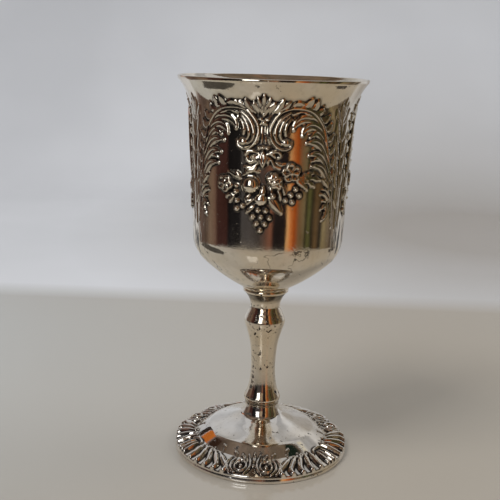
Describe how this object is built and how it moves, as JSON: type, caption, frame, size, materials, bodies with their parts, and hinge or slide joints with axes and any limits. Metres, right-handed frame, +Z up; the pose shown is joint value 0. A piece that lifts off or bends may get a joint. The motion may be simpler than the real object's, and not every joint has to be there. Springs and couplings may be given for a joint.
{
  "type": "kiddush cup",
  "caption": "Stemmed silver-plated wine goblet with a flared lip, chased panels of fruit and scrolls, a baluster stem and a domed foot with a fluted border",
  "frame": {"origin": "centre of the underside of the foot, on the surface that the cup stands on", "axes": "+Z runs up the axis of the cup to the rim; -Y looks at the panel of fruit that faces the viewer; +X is to its right"},
  "size_m": [0.0782, 0.0782, 0.162],
  "materials": {
    "bowl_plate": "silver plate over brass, polished, dark tarnish in the relief",
    "stem_plate": "silver plate over brass, polished, pitted, slightly yellow",
    "foot_plate": "silver plate over brass, polished, dark tarnish in the border"
  },
  "bodies": {
    "root": {"bowl": "bowl_plate", "stem": "stem_plate", "foot": "foot_plate"}
  },
  "joints": []
}
